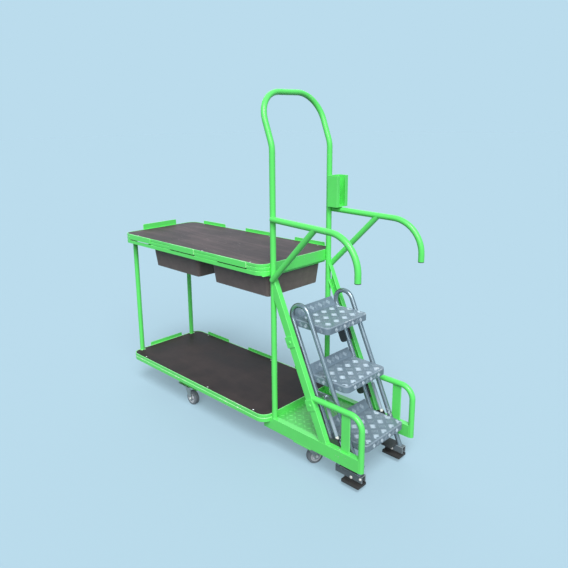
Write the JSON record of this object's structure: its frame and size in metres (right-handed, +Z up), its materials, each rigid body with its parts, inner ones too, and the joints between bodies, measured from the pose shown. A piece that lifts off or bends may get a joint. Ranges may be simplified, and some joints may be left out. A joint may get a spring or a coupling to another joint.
{
  "type": "step trolley",
  "caption": "Order-picking step trolley: load decks on a green tube frame with a top hoop, a sprung ladder in slanted guides, handrails, slide-out trays and castors.",
  "frame": {"origin": "on the floor, under the middle of the bounding box", "axes": "+X to the steps, +Y to the left of someone who looks along +X, +Z up"},
  "size_m": [1.6858, 0.516, 1.7034],
  "materials": {
    "frame_green": "glossy powder coat",
    "lower_board": "film-faced board, scuffed",
    "upper_board": "film-faced board, streaky with wear",
    "tray_plastic": "moulded, matte",
    "ladder_grey": "satin blue-grey coat",
    "tread_grey": "chequered, worn on the raised marks",
    "gusset_dark": "satin dark coat",
    "zinc": "zinc plated",
    "tyre_grey": "grey rubber",
    "hub_grey": "moulded grey",
    "plug_black": "moulded black",
    "pad_rubber": "black rubber",
    "bolt_light": "bright zinc",
    "guide_nylon": "dark nylon",
    "strut_light": "light grey coat",
    "cap_white": "white nylon",
    "rod_chrome": "polished"
  },
  "bodies": {
    "frame": {"lower_deck_rim": "frame_green", "upper_deck_rim": "frame_green", "lower_deck_board": "lower_board", "upper_deck_board": "upper_board", "deck_bearers": "frame_green", "upper_lips": "frame_green", "lower_lips": "frame_green", "deck_screws": "zinc", "hoop_post": "frame_green", "rear_post_right": "frame_green", "rear_post_left": "frame_green", "handrail_right": "frame_green", "handrail_left": "frame_green", "handrail_braces": "frame_green", "handrail_plugs": "plug_black", "scanner_holder": "frame_green", "chassis_rail_right": "frame_green", "chassis_rail_left": "frame_green", "floor_plate": "frame_green", "cross_members": "frame_green", "guide_channel_right": "frame_green", "guide_channel_left": "frame_green", "guide_straps": "frame_green", "guard_hoop_right": "frame_green", "guard_hoop_left": "frame_green", "guard_bars": "frame_green", "castor_plates": "frame_green", "tray_runners": "frame_green", "rear_castor_forks": "zinc", "rear_axles": "zinc", "swivel_bases": "zinc", "strut_cylinders": "strut_light", "strut_caps": "cap_white", "strut_anchors": "gusset_dark"},
    "ladder": {"ladder_side_right": "ladder_grey", "ladder_side_left": "ladder_grey", "tread_lower": "tread_grey", "tread_middle": "tread_grey", "tread_upper": "tread_grey", "tread_gussets": "gusset_dark", "foot_channels": "ladder_grey", "foot_pads": "pad_rubber", "foot_bolts": "bolt_light", "guide_blocks": "guide_nylon", "strut_rods": "rod_chrome"},
    "front_tray": {"tray_front": "tray_plastic"},
    "rear_tray": {"tray_rear": "tray_plastic"},
    "front_castor_right": {"front_fork_right": "zinc", "front_axle_right": "zinc"},
    "front_castor_left": {"front_fork_left": "zinc", "front_axle_left": "zinc"},
    "rear_wheel_right": {"rear_tyre_right": "tyre_grey", "rear_hub_right": "hub_grey"},
    "rear_wheel_left": {"rear_tyre_left": "tyre_grey", "rear_hub_left": "hub_grey"},
    "front_wheel_right": {"front_tyre_right": "tyre_grey", "front_hub_right": "hub_grey"},
    "front_wheel_left": {"front_tyre_left": "tyre_grey", "front_hub_left": "hub_grey"}
  },
  "joints": [
    {"name": "ladder_slide", "type": "slide", "parent": "frame", "child": "ladder", "axis": [0.4115, 0, -0.9114], "range_m": [0, 0.0247], "stiffness_N_per_m": 10000, "springref_m": -0.02},
    {"name": "front_tray_slide", "type": "slide", "parent": "frame", "child": "front_tray", "axis": [0, -1, 0], "range_m": [0, 0.25]},
    {"name": "rear_tray_slide", "type": "slide", "parent": "frame", "child": "rear_tray", "axis": [0, -1, 0], "range_m": [0, 0.25]},
    {"name": "rear_wheel_right_roll", "type": "hinge", "parent": "frame", "child": "rear_wheel_right", "pos_m": [-0.34795, -0.175, 0.04], "axis": [0, 1, 0], "continuous": true},
    {"name": "front_castor_right_swivel", "type": "hinge", "parent": "frame", "child": "front_castor_right", "pos_m": [0.509, -0.16, 0.098], "axis": [0, 0, 1], "continuous": true},
    {"name": "front_wheel_right_roll", "type": "hinge", "parent": "front_castor_right", "child": "front_wheel_right", "pos_m": [0.51994, -0.12993, 0.04], "axis": [0.9397, -0.342, 0], "continuous": true},
    {"name": "rear_wheel_left_roll", "type": "hinge", "parent": "frame", "child": "rear_wheel_left", "pos_m": [-0.34795, 0.175, 0.04], "axis": [0, 1, 0], "continuous": true},
    {"name": "front_castor_left_swivel", "type": "hinge", "parent": "frame", "child": "front_castor_left", "pos_m": [0.509, 0.16, 0.098], "axis": [0, 0, 1], "continuous": true},
    {"name": "front_wheel_left_roll", "type": "hinge", "parent": "front_castor_left", "child": "front_wheel_left", "pos_m": [0.51994, 0.12993, 0.04], "axis": [-0.9397, -0.342, 0], "continuous": true}
  ]
}
